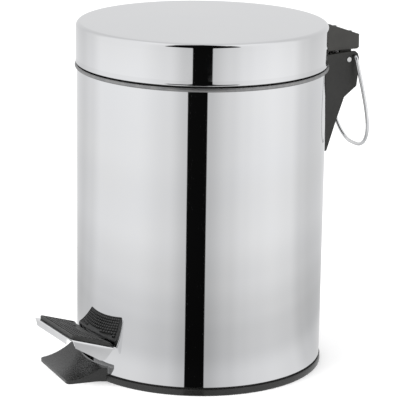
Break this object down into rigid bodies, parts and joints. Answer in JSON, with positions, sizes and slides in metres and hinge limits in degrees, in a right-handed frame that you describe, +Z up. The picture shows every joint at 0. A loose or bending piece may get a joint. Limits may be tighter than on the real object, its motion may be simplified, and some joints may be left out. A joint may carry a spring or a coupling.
{
  "type": "pedal trash can",
  "caption": "Round polished steel pedal bin with hinged lid, rubber-topped foot pedal, lift linkage, rear wire carry handle and removable inner bucket.",
  "frame": {"origin": "centre of the base's underside, on the body axis, at floor level", "axes": "+Z up the body axis; the pedal is towards -Y and the lid hinge and carry handle are towards +Y; +X is to the right seen from the pedal side"},
  "size_m": [0.2036, 0.2764, 0.2805],
  "materials": {
    "steel_body": "polished stainless steel",
    "steel_lid": "polished stainless steel",
    "plastic_base": "moulded black plastic, fine grain",
    "plastic_hinge": "moulded black plastic, fine grain",
    "rubber_pad": "moulded black rubber, square studs",
    "chrome_pedal": "chromed sheet steel",
    "wire": "chromed wire",
    "zinc_steel": "zinc plated",
    "plastic_bucket": "moulded black plastic"
  },
  "bodies": {
    "bin": {"body_shell": "steel_body", "base_moulding": "plastic_base", "pedal_bracket": "zinc_steel", "pedal_axle": "zinc_steel", "axle_clips": "zinc_steel", "bracket_rivets": "zinc_steel", "rod_guide": "plastic_hinge", "hinge_housing": "plastic_hinge", "housing_screws": "zinc_steel", "hinge_pin": "zinc_steel"},
    "lid": {"lid_shell": "steel_lid", "hinge_cover": "plastic_hinge", "cover_screws": "zinc_steel", "crank_bracket": "zinc_steel", "crank_pin": "zinc_steel"},
    "pedal": {"pedal_pad": "rubber_pad", "pedal_plate": "chrome_pedal", "pedal_lever": "zinc_steel", "pedal_rivets": "zinc_steel"},
    "rod": {"lift_rod": "zinc_steel", "rod_eye": "zinc_steel", "rod_collars": "zinc_steel"},
    "handle": {"carry_handle": "wire"},
    "bucket": {"inner_bucket": "plastic_bucket"},
    "bail": {"bucket_bail": "wire"}
  },
  "joints": [
    {"name": "lid_hinge", "type": "hinge", "parent": "bin", "child": "lid", "pos_m": [0, 0.124, 0.2435], "axis": [-1, 0, 0], "range_deg": [0, 80]},
    {"name": "pedal_pivot", "type": "hinge", "parent": "bin", "child": "pedal", "pos_m": [0, -0.05, 0.016], "axis": [1, 0, 0], "range_deg": [0, 9.21]},
    {"name": "rod_lift", "type": "slide", "parent": "bin", "child": "rod", "axis": [0, 0, 1], "range_m": [0, 0.02316]},
    {"name": "handle_swing", "type": "hinge", "parent": "bin", "child": "handle", "pos_m": [0, 0.1287, 0.246], "axis": [1, 0, 0], "range_deg": [-22, 75]},
    {"name": "bucket_lift", "type": "slide", "parent": "bin", "child": "bucket", "axis": [0, 0, 1], "range_m": [0, 0.009]},
    {"name": "bail_swing", "type": "hinge", "parent": "bucket", "child": "bail", "pos_m": [0, 0, 0.236], "axis": [-1, 0, 0], "range_deg": [0, 14]}
  ],
  "couplings": [
    {"joint": "pedal_pivot", "follows": "lid_hinge", "ratio": 0.115},
    {"joint": "rod_lift", "follows": "lid_hinge", "m_per_rad": 0.016573}
  ]
}
